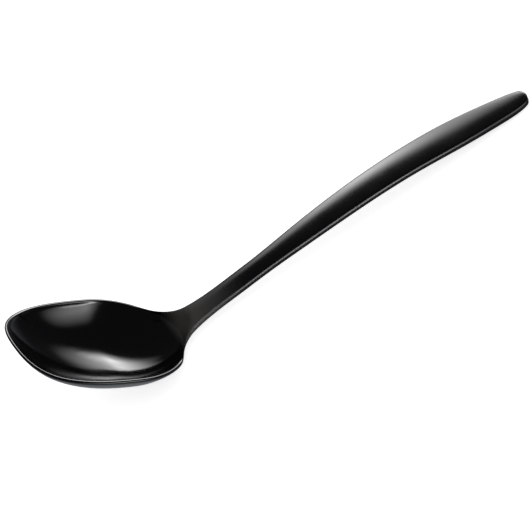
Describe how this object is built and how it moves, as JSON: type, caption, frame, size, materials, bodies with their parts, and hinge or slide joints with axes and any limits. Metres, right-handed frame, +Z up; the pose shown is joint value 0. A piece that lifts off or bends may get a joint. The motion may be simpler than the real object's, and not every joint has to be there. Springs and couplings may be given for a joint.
{
  "type": "cooking spoon",
  "caption": "One-piece black moulded cooking spoon: deep oval bowl tilted up at the front, flared neck and long arched handle with a crowned top face.",
  "frame": {"origin": "centre of the bottom of the box, on the surface the spoon rests on", "axes": "+X from the bowl towards the end of the handle, +Z up out of the hollow, both sides of the XZ plane alike"},
  "size_m": [0.2976, 0.0692, 0.0684],
  "materials": {
    "melamine": "gloss black, a little more satin on the handle"
  },
  "bodies": {
    "root": {"bowl": "melamine", "handle": "melamine"}
  },
  "joints": []
}
